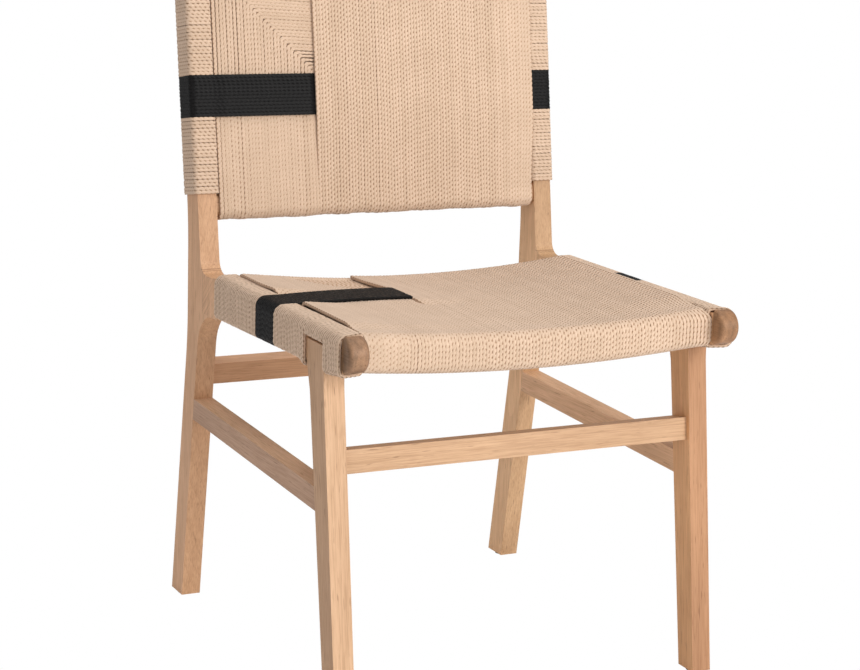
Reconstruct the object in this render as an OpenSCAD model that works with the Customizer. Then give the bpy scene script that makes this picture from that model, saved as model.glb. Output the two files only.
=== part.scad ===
// Dining chair with an oak frame and a seat and back wound from twisted paper cord.
// Z is up and the chair faces -Y. Left and right are as seen from the front, so left is -X.
// Y is worked out from a line just in front of the front legs, then shifted to the chair's middle.

/* [Overall] */
// Width over the outer faces of the legs
chair_w = 490; // [450:1:540]
// Height of the tops of the rear posts
chair_h = 838; // [810:1:880]
// Height of the side rails' top edge, under the cords
seat_h = 437; // [425:1:450]
// Depth from the front edge of the front legs to the front of the knuckles
seat_d = 315.5; // [295:0.5:340]
// Thickness of the boards that the legs and side rails are cut from
board_t = 24.5; // [22:0.5:28]

/* [Front legs] */
// Front edge of a front leg where it enters the rail
front_leg_y = 10.5; // [5:0.5:15]
// How far the foot stands in front of the leg's upper front edge
front_splay = 51.5; // [35:0.5:65]
// Depth of the front foot, front to back
front_foot_d = 31; // [28:0.5:38]
// Depth of the leg's flared top, front to back
front_top_d = 47.5; // [44:0.5:54]
// How far under the rail's top edge the leg's front turns upright
front_bend_drop = 61; // [52:1:80]
// How much the flare adds to the back of the leg
flare_d = 11; // [8:0.5:13]
// How far under the rail's top edge the flare starts
flare_start_drop = 72; // [64:1:84]
// How far under the rail's top edge the flare ends
flare_end_drop = 37; // [33:1:42]
// Radius of the curves of the flare
flare_r = 24; // [10:1:32]
// Radius of the bend where the leg's front turns upright
front_bend_r = 120; // [40:5:160]

/* [Rear legs] */
// How far the rear foot's front edge stands behind the knuckle's front face
rear_splay = 114; // [100:1:125]
// Depth of the rear foot, front to back
rear_foot_d = 36.5; // [32:0.5:42]
// Depth from the knuckle's front face to the post's front face
knuckle_d = 54; // [50:1:60]
// Height of the knuckle at its front face
knuckle_h = 52; // [50:0.5:58]
// How far the knuckle's top dips under the rail's top edge
knuckle_dip = 4; // [2:0.5:6]
// Depth from the knuckle's front face to the leg under it
knuckle_under_d = 58.7; // [54:0.1:62]
// Radius of the hollow under the knuckle
knuckle_under_r = 49; // [30:1:56]
// Radius of the hollow between the knuckle and the post
knuckle_over_r = 18; // [10:1:26]
// Depth from the knuckle's front face to the start of its flat top
knuckle_slope_d = 19; // [17:0.5:22]
// Radius where the knuckle's top levels out
knuckle_slope_r = 20; // [10:1:24]
// Radius of the knuckle's front edges
knuckle_edge_r = 2; // [1:0.5:3]
// Depth from the knuckle's front face to the back of the leg
waist_d = 99.5; // [95:0.5:104]
// How far under the rail's top edge the back of the leg turns to the floor
waist_low_drop = 87; // [70:1:100]
// Radius of the two slow bends at the back of the leg
waist_r = 420; // [250:10:460]
// Depth of the post, front to back
post_d = 36; // [33:0.5:40]
// Backward lean of the posts, in degrees
back_lean = 9.1; // [6:0.1:11]
// Radius of the post's rounded top
post_top_r = 5; // [2:0.5:8]

/* [Side rails] */
// Height of a side rail at its front end
side_rail_front_h = 36.5; // [34:0.5:40]
// Height of a side rail at the knuckle
side_rail_rear_h = 45.5; // [42:0.5:49]
// Radius of the round nose of a side rail
nose_r = 20; // [18:0.5:22]
// How far the nose's centre stands in front of the leg's front edge
nose_reach = 46; // [44:0.5:60]
// Radius of the nose's rims
nose_edge_r = 5; // [2:0.5:7]
// Height of the bridge of rail over the cord slot
bridge_h = 11; // [9:0.5:12]
// Height of the cord slot over the leg's top
slot_h = 5; // [4.8:0.1:6]

/* [Cross rails] */
// Thickness of the seat's front and rear rails, front to back
cross_rail_t = 22; // [18:0.5:24]
// Height of the seat's front and rear rails
cross_rail_h = 36.2; // [32:0.2:36.4]
// Radius of the rounded edges of the cross rails
cross_rail_r = 8; // [4:0.5:9]
// How far the seat dips in the middle
seat_dish = 11; // [6:0.5:14]
// Distance from the nose's centre line to the front rail
front_rail_setback = 9.5; // [8:0.5:12]
// Space between the rear rail and the knuckle's front face
rear_rail_space = 8; // [6:0.5:12]
// Height of the back's top and bottom rails
back_rail_h = 28; // [24:0.5:32]
// Thickness of the back's top and bottom rails, front to back
back_rail_t = 22; // [18:0.5:24]
// How far the back's rails stand behind the posts' front faces
back_rail_inset = 2.5; // [2:0.5:6]
// Distance up the post from the knuckle to the back's bottom rail
back_rail_rise = 68; // [56:1:80]
// Bare end of the post over the back's top rail, measured up the post
post_end = 8; // [6:0.5:14]

/* [Stretchers] */
// Height of the stretchers
stretcher_h = 26.6; // [22:0.2:30]
// Thickness of the front and rear stretchers
stretcher_t = 24; // [20:0.5:25]
// Height of the front stretcher's top edge
front_stretcher_z = 304.5; // [292:0.5:316]
// How far the front stretcher stands behind the legs' front faces
front_stretcher_inset = 6; // [5:0.5:7]
// Height of the rear stretcher's top edge
rear_stretcher_z = 314.3; // [304:0.1:326]
// How far the rear stretcher stands behind the rear legs' front faces
rear_stretcher_inset = 4; // [3:0.5:7]
// Height of the side stretchers' top edge at the front legs
side_stretcher_z = 259.2; // [240:0.2:262]
// Rise of the side stretchers for each unit of depth
side_stretcher_slope = 0.03; // [0:0.005:0.045]

/* [Cords] */
// Thickness of one layer of cord
cord_t = 4.2; // [3.4:0.1:4.4]
// Space left between layers of cord and their neighbours
cord_gap = 0.2; // [0.1:0.05:0.3]
// Width of the seat's left band, from the side rail's winding to the wide band
seat_left_w = 146; // [120:1:160]
// Width of the back's left band, from the post's winding to the wide band
back_left_w = 131; // [110:1:145]
// Distance from the front leg's front edge to the black band on the seat
seat_black_setback = 133; // [110:0.5:150]
// Width of the black band on the seat
seat_black_w = 53; // [42:1:64]
// How far the black band dips from the side rail to the wide band
seat_black_dip = 5.5; // [4:0.5:6]
// How far the black band runs further back on the right side rail
seat_black_drift = 3.5; // [0:0.5:16]
// Distance up the post from the knuckle to the black band on the back
back_black_rise = 188; // [160:1:210]
// Width of the black band on the back
back_black_w = 50.4; // [42:0.2:64]
// Radius of the windings round the edges of the rails and posts
winding_r = 6; // [3:0.5:8]

/* [Joints and feet] */
// Thickness of the tenons
tenon_t = 10; // [8:0.5:12]
// Length of the tenons
tenon_l = 14; // [10:0.5:16]
// Height of the tenons on the rails and stretchers
tenon_h = 18; // [14:0.5:20]
// Length of the side rail's tenon in the knuckle
knuckle_tenon_l = 28; // [20:1:34]
// Space left for glue at the blind end of each mortise
glue_gap = 0.8; // [0.4:0.1:1]
// Height of the foot glides
glide_h = 2.5; // [1.5:0.5:4]
// Diameter of the foot glides
glide_d = 20; // [14:1:22]
// Diameter of the glide's nail
glide_nail_d = 3; // [2:0.5:4]
// Length of the glide's nail
glide_nail_l = 14; // [8:1:20]

/* [Hidden] */

// Facets of small round edges, of the seat's wide arc and of the rails' noses
edge_fn = 32;
arc_fn = 720;
nose_fn = 96;
// Steps in each rounded corner of an outline
corner_steps = 8;
// How far joined shapes run into each other, and cutters past the faces that they cut
lap = 1;
// How far a tenon runs into the slanting end of a side stretcher
slant_lap = 12;
// How far the back's black strip runs on into the winding on the left post
strip_lap = 3;
// How much lower than the side rail the knuckle's front edge is
knuckle_drop = 0.5;

oak = [0.80, 0.64, 0.47];
oak_end = [0.74, 0.57, 0.40];
natural_cord = [0.89, 0.78, 0.67];
black_cord = [0.14, 0.14, 0.15];
glide_grey = [0.20, 0.20, 0.20];

// Places across the chair
outer_x = chair_w / 2;
inner_x = outer_x - board_t;
board_x = outer_x - board_t / 2;
wrap_inner_x = inner_x - cord_t;
band_end_x = wrap_inner_x - cord_gap;
seat_edge_x = band_end_x - seat_left_w;
back_edge_x = band_end_x - back_left_w;

// Places along the chair
knuckle_y = front_leg_y + seat_d;
front_leg_top_z = seat_h - bridge_h - slot_h;
front_leg_rear_y = front_leg_y + front_top_d;
front_foot_y = front_leg_y - front_splay;
nose_y = front_leg_y - nose_reach;
front_rail_y = nose_y + front_rail_setback;
rear_rail_y = knuckle_y - rear_rail_space - cross_rail_t;
rear_foot_y = knuckle_y + rear_splay;
post_y = knuckle_y + knuckle_d;
post_z = seat_h - knuckle_dip;
lean_slope = tan(back_lean);
waist_y = knuckle_y + waist_d;
waist_low_z = seat_h - waist_low_drop;
waist_high_z = post_z + (waist_y - post_y - post_d) / lean_slope;
post_end_y = post_y + post_d + lean_slope * (chair_h - post_z);
y_mid = (nose_y - nose_r + post_end_y) / 2;

// Slope of a side rail's bottom edge, in degrees
rail_taper = atan((side_rail_rear_h - side_rail_front_h) / (knuckle_y - nose_y));

// Slopes of the legs' front faces, as depth for each unit of height
front_slope = front_splay / (seat_h - front_bend_drop - glide_h);
rear_slope = (rear_splay - knuckle_under_d) / (seat_h - knuckle_h - glide_h);

// The seat's arc, whose centre is far over the chair
dish_r = (inner_x * inner_x + seat_dish * seat_dish) / (2 * seat_dish);
dish_z = seat_h - seat_dish + dish_r;
dish_angle = 2 * asin(inner_x / dish_r) + 1;

// The back's own frame: Z runs up the post and Y is its depth from the front face
post_length = (chair_h - post_z) / cos(back_lean);
post_depth = post_d * cos(back_lean);
back_rail_low = back_rail_rise;
back_rail_high = post_length - post_end - back_rail_h;
wrap_low = back_rail_low + back_rail_h + cord_gap;
wrap_high = back_rail_high - cord_gap;
black_low = back_black_rise;
black_high = back_black_rise + back_black_w;

// The black bands on the seat
black_y0 = front_leg_y + seat_black_setback;
black_y1 = black_y0 + seat_black_w;

// Outline helpers. A corner is [y, z, radius], and a radius of 0 leaves it sharp.
function unit(v) = v / norm(v);
function corner_arc(a, b, c, r) =
    let (
        p = unit([a[0] - b[0], a[1] - b[1]]),
        q = unit([c[0] - b[0], c[1] - b[1]]),
        half = acos(p * q) / 2,
        reach = r / tan(half),
        centre = [b[0], b[1]] + unit(p + q) * (r / sin(half)),
        from = [b[0], b[1]] + p * reach - centre,
        to = [b[0], b[1]] + q * reach - centre,
        sweep = 180 - 2 * half,
        turn = from[0] * to[1] - from[1] * to[0] > 0 ? 1 : -1
    )
    [for (i = [0 : corner_steps])
        let (t = turn * sweep * i / corner_steps)
        centre + [from[0] * cos(t) - from[1] * sin(t), from[0] * sin(t) + from[1] * cos(t)]];
function rounded_outline(corners) =
    [for (i = [0 : len(corners) - 1])
        let (
            n = len(corners),
            a = corners[(i + n - 1) % n],
            b = corners[i],
            c = corners[(i + 1) % n]
        )
        each (b[2] == 0 ? [[b[0], b[1]]] : corner_arc(a, b, c, b[2]))];

// Rounded rectangle made of true arcs
module rounded_rect(size, r) {
    translate([r, 0]) square([size[0] - 2 * r, size[1]]);
    translate([0, r]) square([size[0], size[1] - 2 * r]);
    for (x = [r, size[0] - r], y = [r, size[1] - r])
        translate([x, y]) circle(r, $fn = edge_fn);
}

// Extrudes a side view, drawn in Y and Z, across X
module across(x0, x1) {
    translate([x0, 0, 0]) rotate([90, 0, 90]) linear_extrude(x1 - x0) children();
}

// Extrudes a front view, drawn in X and Z, along Y
module along(y0, y1) {
    translate([0, y1, 0]) rotate([90, 0, 0]) linear_extrude(y1 - y0) children();
}

// Puts a left-hand shape on the side that is asked for
module on_side(side) {
    mirror([side == "left" ? 1 : 0, 0, 0]) children();
}

// Moves a piece from the working line to the middle of the chair
module centred() {
    translate([0, -y_mid, 0]) children();
}

// Moves a shape from the back's own frame to the chair
module in_back() {
    translate([0, post_y, post_z]) rotate([-back_lean, 0, 0]) children();
}

// Sweeps a section, given as depth under the seat's arc and Y, along the arc
module dished(x0, x1) {
    intersection() {
        translate([0, 0, dish_z]) rotate([0, 90, 90]) rotate([0, 0, -dish_angle / 2])
            rotate_extrude(angle = dish_angle, $fn = arc_fn) translate([dish_r, 0]) children();
        translate([x0, nose_y, 0]) cube([x1 - x0, post_y - nose_y, chair_h]);
    }
}

// Side views of the boards

module front_leg_outline() {
    polygon(rounded_outline([
        [front_foot_y, glide_h, 0],
        [front_foot_y + front_foot_d, glide_h, 0],
        [front_leg_rear_y - flare_d, seat_h - flare_start_drop, flare_r],
        [front_leg_rear_y, seat_h - flare_end_drop, flare_r],
        [front_leg_rear_y, front_leg_top_z, 0],
        [front_leg_y, front_leg_top_z, 0],
        [front_leg_y, seat_h - front_bend_drop, front_bend_r]
    ]));
}

module rear_leg_outline() {
    polygon(rounded_outline([
        [rear_foot_y, glide_h, 0],
        [rear_foot_y + rear_foot_d, glide_h, 0],
        [waist_y, waist_low_z, waist_r],
        [waist_y, waist_high_z, waist_r],
        [post_end_y, chair_h, post_top_r],
        [post_end_y - post_d, chair_h, post_top_r],
        [post_y, post_z, knuckle_over_r],
        [knuckle_y + knuckle_slope_d, post_z, knuckle_slope_r],
        [knuckle_y, seat_h - knuckle_drop, knuckle_edge_r],
        [knuckle_y, seat_h - knuckle_h, knuckle_edge_r],
        [knuckle_y + knuckle_under_d, seat_h - knuckle_h, knuckle_under_r]
    ]));
}

module side_rail_outline() {
    difference() {
        polygon([
            [nose_y, seat_h - side_rail_front_h],
            [knuckle_y, seat_h - side_rail_rear_h],
            [knuckle_y, seat_h],
            [nose_y, seat_h]
        ]);
        front_leg_outline();
        translate([front_leg_y, front_leg_top_z - lap]) square([front_top_d, slot_h + lap]);
    }
}

// Round nose of a side rail: half a disc with rounded rims, and a core that joins it to the rail
module rail_nose() {
    nose_z = seat_h + cord_t - nose_r;
    intersection() {
        translate([inner_x, nose_y, nose_z]) rotate([0, 90, 0]) rotate_extrude($fn = nose_fn)
            intersection() {
                translate([-nose_r, 0]) rounded_rect([2 * nose_r, board_t], nose_edge_r);
                square([nose_r, board_t]);
            }
        translate([inner_x - lap, nose_y - nose_r - lap, nose_z - nose_r - lap])
            cube([board_t + 2 * lap, nose_r + lap, 2 * (nose_r + lap)]);
    }
    translate([inner_x + nose_edge_r, nose_y - lap, nose_z - nose_r / 2])
        cube([board_t - 2 * nose_edge_r, 2 * lap, nose_r]);
}

// Height of a side rail's bottom edge at a place along the chair
function rail_bottom(y) =
    seat_h - side_rail_front_h
    - (side_rail_rear_h - side_rail_front_h) * (y - nose_y) / (knuckle_y - nose_y);

// Places of the legs' faces at a height
function front_leg_face(z) = front_foot_y + front_slope * (z - glide_h);
function rear_leg_face(z) = rear_foot_y - rear_slope * (z - glide_h);

// Tenons. Each is drawn once, for its own piece and, a little longer, for the mortise.

// Tenon at the right end of a piece that runs across the chair
module end_tenon(extra) {
    translate([inner_x - lap, -tenon_t / 2, -tenon_h / 2])
        cube([tenon_l + lap + extra, tenon_t, tenon_h]);
}

module cross_rail_tenon(rail_y, extra) {
    translate([0, rail_y + cross_rail_t / 2, seat_h - cross_rail_h / 2]) end_tenon(extra);
}

module back_rail_tenon(rail_low, extra) {
    in_back() translate([0, back_rail_inset + back_rail_t / 2, rail_low + back_rail_h / 2])
        end_tenon(extra);
}

module knuckle_tenon(extra) {
    translate([board_x - tenon_t / 2, knuckle_y - lap, seat_h - knuckle_h / 2 - tenon_h / 2])
        cube([tenon_t, knuckle_tenon_l + lap + extra, tenon_h]);
}

// Puts a piece in the tilted frame of the front or rear stretcher, whose origin is its top front edge
module in_front_stretcher() {
    translate([0, front_leg_face(front_stretcher_z) + front_stretcher_inset, front_stretcher_z])
        rotate([-atan(front_slope), 0, 0]) children();
}

module in_rear_stretcher() {
    translate([0, rear_leg_face(rear_stretcher_z) + rear_stretcher_inset, rear_stretcher_z])
        rotate([atan(rear_slope), 0, 0]) children();
}

module stretcher_tenon(extra) {
    translate([0, stretcher_t / 2, -stretcher_h / 2]) end_tenon(extra);
}

// Places where the side stretcher meets the legs, on its centre line
side_front_z = side_stretcher_z - stretcher_h / 2;
side_front_y = front_leg_face(side_front_z) + front_foot_d;
side_rear_z = side_front_z + side_stretcher_slope * (rear_leg_face(side_front_z) - side_front_y);
side_rear_y = rear_leg_face(side_rear_z);

module side_tenon_front(extra) {
    translate([board_x - tenon_t / 2, side_front_y - tenon_l - extra, side_front_z - tenon_h / 2])
        cube([tenon_t, tenon_l + extra + slant_lap, tenon_h]);
}

module side_tenon_rear(extra) {
    translate([board_x - tenon_t / 2, side_rear_y - slant_lap, side_rear_z - tenon_h / 2])
        cube([tenon_t, tenon_l + extra + slant_lap, tenon_h]);
}

// The outline runs from the middle of one leg to the middle of the other, and the legs cut its ends
module side_stretcher_outline() {
    front_y = side_front_y - front_foot_d / 2;
    rear_y = side_rear_y + rear_foot_d / 2;
    front_z = side_stretcher_z - side_stretcher_slope * front_foot_d / 2;
    rear_z = front_z + side_stretcher_slope * (rear_y - front_y);
    difference() {
        polygon([
            [front_y, front_z - stretcher_h],
            [rear_y, rear_z - stretcher_h],
            [rear_y, rear_z],
            [front_y, front_z]
        ]);
        front_leg_outline();
        rear_leg_outline();
    }
}

// Foot glide: a disc with a nail up into the foot
module glide_shape() {
    cylinder(glide_h, d = glide_d);
    translate([0, 0, glide_h - lap]) cylinder(glide_nail_l + lap, d = glide_nail_d);
}

module glide_at(side, foot_y, foot_d) {
    on_side(side) translate([board_x, foot_y + foot_d / 2, 0]) glide_shape();
}

module nail_hole(foot_y, foot_d) {
    translate([board_x, foot_y + foot_d / 2, glide_h - lap])
        cylinder(glide_nail_l + lap, d = glide_nail_d);
}

// Frame pieces

module front_leg(side) {
    color(oak) on_side(side) difference() {
        across(inner_x, outer_x) front_leg_outline();
        in_front_stretcher() stretcher_tenon(glue_gap);
        side_tenon_front(glue_gap);
        nail_hole(front_foot_y, front_foot_d);
    }
}

module rear_leg(side) {
    color(oak) on_side(side) difference() {
        across(inner_x, outer_x) rear_leg_outline();
        knuckle_tenon(glue_gap);
        back_rail_tenon(back_rail_low, glue_gap);
        back_rail_tenon(back_rail_high, glue_gap);
        in_rear_stretcher() stretcher_tenon(glue_gap);
        side_tenon_rear(glue_gap);
        nail_hole(rear_foot_y, rear_foot_d);
    }
}

module seat_side_rail(side) {
    color(oak) on_side(side) {
        difference() {
            union() {
                across(inner_x, outer_x) side_rail_outline();
                rail_nose();
            }
            cross_rail_tenon(front_rail_y, glue_gap);
            cross_rail_tenon(rear_rail_y, glue_gap);
        }
        knuckle_tenon(0);
    }
}

module seat_cross_rail(rail_y) {
    color(oak_end) union() {
        dished(-inner_x, inner_x) translate([0, rail_y])
            rounded_rect([cross_rail_h, cross_rail_t], cross_rail_r);
        for (side = ["left", "right"]) on_side(side) cross_rail_tenon(rail_y, 0);
    }
}

module back_rail(rail_low) {
    color(oak_end) {
        in_back() across(-inner_x, inner_x) translate([back_rail_inset, rail_low])
            rounded_rect([back_rail_t, back_rail_h], cross_rail_r);
        for (side = ["left", "right"]) on_side(side) back_rail_tenon(rail_low, 0);
    }
}

module level_stretcher() {
    translate([-inner_x, 0, -stretcher_h]) cube([2 * inner_x, stretcher_t, stretcher_h]);
    for (side = ["left", "right"]) on_side(side) stretcher_tenon(0);
}

module side_stretcher(side) {
    color(oak) on_side(side) {
        across(inner_x, outer_x) side_stretcher_outline();
        side_tenon_front(0);
        side_tenon_rear(0);
    }
}

// Cords of the seat. A band is a belt round the front and rear rails, which it follows in the dish.

module seat_belt_section() {
    belt_l = rear_rail_y + cross_rail_t - front_rail_y;
    difference() {
        translate([-cord_t, front_rail_y - cord_t])
            rounded_rect([cross_rail_h + 2 * cord_t, belt_l + 2 * cord_t], cross_rail_r + cord_t);
        translate([0, front_rail_y]) rounded_rect([cross_rail_h, belt_l], cross_rail_r);
    }
}

module seat_belt(x0, x1) {
    dished(x0, x1) seat_belt_section();
}

// Plan of the corner behind the black band, where the cords turn from front-to-back to side-to-side
module seat_corner_plan(grow) {
    corner_l = rear_rail_y - black_y1;
    corner_x = -seat_edge_x - cord_gap / 2;
    translate([0, 0, seat_h - seat_dish - cross_rail_h / 2]) linear_extrude(2 * cross_rail_h)
        polygon([
            [corner_x, black_y1 + cord_gap - grow],
            [corner_x, rear_rail_y],
            [corner_x - corner_l + cord_gap - grow, rear_rail_y]
        ]);
}

// The run of the left band under the black band, where the two layers change places.
// It reaches under the upper layer by one cord at each side, and grow widens it for its bed.
module seat_under_run(grow) {
    x0 = -band_end_x - grow;
    x1 = -seat_edge_x - cord_gap / 2 + grow;
    y0 = black_y0 - cord_gap - cord_t - grow;
    y1 = black_y1 + cord_gap + cord_t + grow;
    dished(x0, x1) {
        translate([cord_gap - grow, y0]) square([cord_t + 2 * grow, y1 - y0]);
        translate([-cord_gap, y0]) square([cord_t, cord_t]);
        translate([-cord_gap, y1 - cord_t]) square([cord_t, cord_t]);
    }
}

// Winding of cord round a side rail, from one place along the chair to another
module rail_winding(y0, y1) {
    width = board_t + 2 * cord_t;
    depth = 2 * side_rail_rear_h;
    rail_ys = [front_rail_y, rear_rail_y];
    difference() {
        intersection() {
            across(wrap_inner_x, outer_x + cord_t) difference() {
                polygon([
                    [y0, rail_bottom(y0) - cord_t],
                    [y1, rail_bottom(y1) - cord_t],
                    [y1, seat_h + cord_t],
                    [y0, seat_h + cord_t]
                ]);
                translate([front_leg_y - cord_gap, 0])
                    square([front_top_d + 2 * cord_gap, front_leg_top_z + slot_h - cord_t]);
            }
            along(y0 - lap, y1 + lap) translate([wrap_inner_x, seat_h + cord_t - depth])
                rounded_rect([width, depth], winding_r);
            translate([0, nose_y, rail_bottom(nose_y) - cord_t]) rotate([-rail_taper, 0, 0])
                along(-nose_reach, 2 * seat_d) translate([wrap_inner_x, 0])
                    rounded_rect([width, depth], winding_r);
        }
        across(inner_x, outer_x) side_rail_outline();
        for (rail_y = rail_ys)
            translate([wrap_inner_x - lap, rail_y - cord_gap, seat_h - cross_rail_h - lap])
                cube([cord_t + lap, cross_rail_t + 2 * cord_gap, cross_rail_h + lap]);
    }
}

module seat_wrap(side, y0, y1) {
    color(natural_cord) on_side(side) rail_winding(y0, y1);
}

module seat_wide_band() {
    color(natural_cord) seat_belt(-seat_edge_x + cord_gap / 2, band_end_x);
}

module seat_left_band() {
    color(natural_cord) union() {
        difference() {
            seat_belt(-band_end_x, -seat_edge_x - cord_gap / 2);
            seat_corner_plan(cord_gap);
            translate([-outer_x, black_y0 - cord_gap, seat_h - seat_dish - cross_rail_h / 2])
                cube([outer_x, seat_black_w + 2 * cord_gap, 2 * cross_rail_h]);
        }
        seat_under_run(0);
    }
}

module seat_corner_band() {
    color(natural_cord) intersection() {
        dished(-band_end_x, -seat_edge_x) translate([-cord_t, front_rail_y])
            square([cord_t, rear_rail_y - front_rail_y]);
        seat_corner_plan(0);
    }
}

// The black band goes round the left rail and over the left band to the wide band's edge
module seat_black_band() {
    end_x = -seat_edge_x - cord_gap / 2;
    color(black_cord) union() {
        on_side("left") rail_winding(black_y0, black_y1);
        difference() {
            along(black_y0, black_y1) polygon([
                [-wrap_inner_x - cord_t, seat_h + cord_t],
                [end_x, seat_h + cord_t - seat_black_dip],
                [end_x, seat_h - seat_dish],
                [-wrap_inner_x - cord_t, seat_h - seat_dish]
            ]);
            dished(-outer_x, end_x + lap) translate([0, black_y0 - lap])
                square([seat_dish + cord_t, seat_black_w + 2 * lap]);
            translate([-outer_x, black_y0 - lap, 0]) cube([board_t, seat_black_w + 2 * lap, seat_h]);
        }
    }
}

module seat_black_wrap_right() {
    color(black_cord) rail_winding(black_y0 + seat_black_drift, black_y1 + seat_black_drift);
}

// Side-to-side cords, hidden between the belts' upper and lower runs
module seat_cross_cords(depth) {
    rail_back = front_rail_y + cross_rail_t + cord_gap;
    color(natural_cord) difference() {
        dished(-band_end_x, band_end_x)
            translate([depth, rail_back]) square([cord_t, rear_rail_y - cord_gap - rail_back]);
        seat_under_run(cord_gap);
    }
}

// Cords of the back, drawn in the back's own frame

module back_belt_section() {
    belt_h = back_rail_high + back_rail_h - back_rail_low;
    difference() {
        translate([back_rail_inset - cord_t, back_rail_low - cord_t])
            rounded_rect([back_rail_t + 2 * cord_t, belt_h + 2 * cord_t], cross_rail_r + cord_t);
        translate([back_rail_inset, back_rail_low])
            rounded_rect([back_rail_t, belt_h], cross_rail_r);
    }
}

// Front view of the corner over the black band, where the cords turn from upright to level
module back_corner_shape(grow) {
    corner_x = -back_edge_x - cord_gap / 2;
    corner_high = back_rail_high - cord_t;
    along(back_rail_inset - 2 * cord_t, back_rail_inset + back_rail_t / 2) polygon([
        [corner_x, black_high + cord_gap - grow],
        [corner_x, corner_high],
        [-band_end_x - grow, corner_high]
    ]);
}

module post_winding(low, high) {
    translate([wrap_inner_x, -cord_t, low]) linear_extrude(high - low) difference() {
        rounded_rect([board_t + 2 * cord_t, post_depth + 2 * cord_t], winding_r);
        translate([cord_t, cord_t]) square([board_t, post_depth]);
    }
}

module back_wrap(side, low, high) {
    color(natural_cord) on_side(side) in_back() post_winding(low, high);
}

module back_wide_band() {
    color(natural_cord) in_back()
        across(-back_edge_x + cord_gap / 2, band_end_x) back_belt_section();
}

module back_left_band() {
    drop_w = cord_t + 1.5 * cord_gap;
    color(natural_cord) in_back() difference() {
        across(-band_end_x, -back_edge_x - cord_gap / 2) back_belt_section();
        back_corner_shape(cord_gap);
        translate([-back_edge_x - drop_w, back_rail_inset - 2 * cord_t, black_low - cord_gap])
            cube([drop_w, 2 * cord_t + back_rail_t / 2, back_black_w + 2 * cord_gap]);
    }
}

module back_corner_band() {
    color(natural_cord) in_back() intersection() {
        across(-band_end_x, -back_edge_x)
            translate([back_rail_inset - cord_t, black_high]) square([cord_t, band_end_x]);
        back_corner_shape(0);
    }
}

module back_black_band() {
    drop_x = -back_edge_x - cord_t - cord_gap;
    strip_y = back_rail_inset - 2 * cord_t - cord_gap;
    color(black_cord) in_back() union() {
        on_side("left") post_winding(black_low, black_high);
        translate([-wrap_inner_x - strip_lap, strip_y, black_low])
            cube([wrap_inner_x + strip_lap - back_edge_x - cord_gap / 2, cord_t, back_black_w]);
        translate([drop_x, strip_y, black_low])
            cube([cord_t + cord_gap / 2, 2 * cord_t + cord_gap, back_black_w]);
    }
}

module back_black_wrap_right() {
    color(black_cord) in_back() post_winding(black_low, black_high);
}

module back_cross_cords(depth) {
    color(natural_cord) in_back() across(-band_end_x, band_end_x)
        translate([depth, wrap_low]) square([cord_t, wrap_high - wrap_low]);
}

// The pieces, one line each
centred() rear_leg("left");  // rear_leg_left
centred() rear_leg("right");  // rear_leg_right
centred() front_leg("left");  // front_leg_left
centred() front_leg("right");  // front_leg_right
centred() seat_side_rail("left");  // seat_side_rail_left
centred() seat_side_rail("right");  // seat_side_rail_right
centred() seat_cross_rail(front_rail_y);  // seat_front_rail
centred() seat_cross_rail(rear_rail_y);  // seat_rear_rail
centred() back_rail(back_rail_high);  // back_top_rail
centred() back_rail(back_rail_low);  // back_bottom_rail
centred() color(oak) in_front_stretcher() level_stretcher();  // front_stretcher
centred() color(oak) in_rear_stretcher() level_stretcher();  // rear_stretcher
centred() side_stretcher("left");  // side_stretcher_left
centred() side_stretcher("right");  // side_stretcher_right
centred() color(glide_grey) glide_at("left", rear_foot_y, rear_foot_d);  // glide_rear_left
centred() color(glide_grey) glide_at("right", rear_foot_y, rear_foot_d);  // glide_rear_right
centred() color(glide_grey) glide_at("left", front_foot_y, front_foot_d);  // glide_front_left
centred() color(glide_grey) glide_at("right", front_foot_y, front_foot_d);  // glide_front_right
centred() seat_wide_band();
centred() seat_left_band();
centred() seat_corner_band();
centred() seat_black_band();
centred() seat_black_wrap_right();
centred() seat_wrap("left", nose_y, black_y0);  // seat_wrap_left_front
centred() seat_wrap("left", black_y1, knuckle_y);  // seat_wrap_left_rear
centred() seat_wrap("right", nose_y, black_y0 + seat_black_drift);  // seat_wrap_right_front
centred() seat_wrap("right", black_y1 + seat_black_drift, knuckle_y);  // seat_wrap_right_rear
centred() seat_cross_cords(cord_gap);  // seat_cross_cords_upper
centred() seat_cross_cords(cross_rail_h - cord_gap - cord_t);  // seat_cross_cords_lower
centred() back_wide_band();
centred() back_left_band();
centred() back_corner_band();
centred() back_black_band();
centred() back_black_wrap_right();
centred() back_wrap("left", wrap_low, black_low);  // back_wrap_left_lower
centred() back_wrap("left", black_high, wrap_high);  // back_wrap_left_upper
centred() back_wrap("right", wrap_low, black_low);  // back_wrap_right_lower
centred() back_wrap("right", black_high, wrap_high);  // back_wrap_right_upper
centred() back_cross_cords(back_rail_inset + cord_gap);  // back_cross_cords_front
centred() back_cross_cords(back_rail_inset + back_rail_t - cord_gap - cord_t);  // back_cross_cords_rear
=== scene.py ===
# Looks for the corded dining chair: oak frame, wound cord seat and back
import math

import bpy
import numpy as np
from mathutils import Matrix, Vector


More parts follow.
